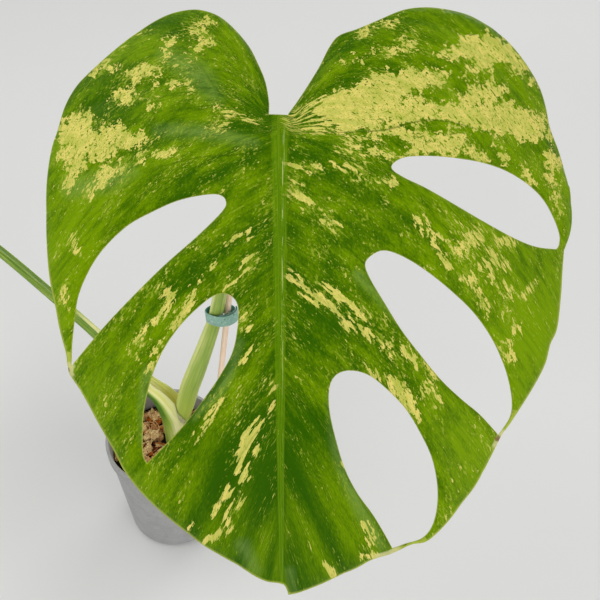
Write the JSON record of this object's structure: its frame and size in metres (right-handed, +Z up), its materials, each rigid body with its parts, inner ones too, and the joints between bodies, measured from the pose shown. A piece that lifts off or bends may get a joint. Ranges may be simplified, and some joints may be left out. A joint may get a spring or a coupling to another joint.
{
  "type": "potted white monster monstera",
  "caption": "Variegated monstera in a grey plastic pot of bark chips: holed leaf blades on long stalks, and a wooden stick tied to a stalk with a soft teal strap.",
  "frame": {"origin": "middle of the pot's flat base", "axes": "+Z up, -Y towards the viewer, +X to the viewer's right"},
  "size_m": [0.6293, 0.396, 0.5801],
  "materials": {
    "pot_plastic": "smooth matte grey, slightly marbled",
    "bark_chips": "rough dry bark and coir chips",
    "green_stem": "knobbly green plant skin",
    "leaf_stalk": "smooth waxy green, pale and darker stripes",
    "leaf_blade": "waxy green with pale cream streaks along the veins",
    "stick_wood": "plain pale round wood",
    "strap_fabric": "soft speckled teal strap, dark on its inner face"
  },
  "bodies": {
    "root": {"pot": "pot_plastic", "substrate": "bark_chips", "stem": "green_stem", "stalk_main": "leaf_stalk", "stalk_side": "leaf_stalk", "leaf_main": "leaf_blade", "leaf_side": "leaf_blade", "stick": "stick_wood", "tie": "strap_fabric"}
  },
  "joints": []
}
